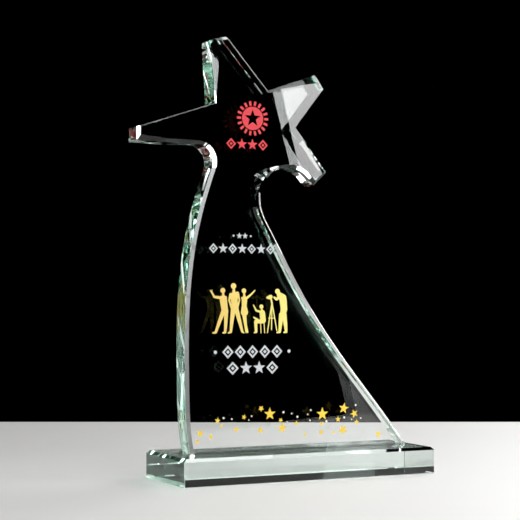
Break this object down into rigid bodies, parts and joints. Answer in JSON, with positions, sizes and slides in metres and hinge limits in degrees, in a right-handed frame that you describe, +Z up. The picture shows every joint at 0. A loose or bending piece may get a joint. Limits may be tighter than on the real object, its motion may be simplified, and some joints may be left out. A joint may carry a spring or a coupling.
{
  "type": "star trophy",
  "caption": "Clear glass award: a leaning star with a sweeping tail, bevelled all round, bonded upright on a rectangular glass base and printed on its front.",
  "frame": {"origin": "centre of the base block's underside, on the surface that the trophy stands on", "axes": "+Z up; +X along the base, towards the wide side of the tail's foot; -Y is the printed front"},
  "size_m": [0.2312, 0.074, 0.3255],
  "materials": {
    "optical_glass": "polished, faint green at the edge",
    "clear_bond": "clear cured adhesive film",
    "red_print": "opaque satin screen ink",
    "frosted_print": "matt silver-white screen ink",
    "gold_foil": "satin gold foil print",
    "white_print": "opaque white screen ink"
  },
  "bodies": {
    "root": {"base_block": "optical_glass", "bond_layer": "clear_bond", "camera_figure": "gold_foil", "caption_row_print": "frosted_print", "date_row_print": "frosted_print", "emblem_print": "red_print", "emblem_row_print": "red_print", "film_camera_figure": "gold_foil", "gold_stars_print": "gold_foil", "name_row_print": "frosted_print", "seated_figure": "gold_foil", "star_plate": "optical_glass", "tall_figure": "gold_foil", "team_row_print": "frosted_print", "waving_left_figure": "gold_foil", "waving_right_figure": "gold_foil", "white_dots_print": "white_print"}
  },
  "joints": []
}
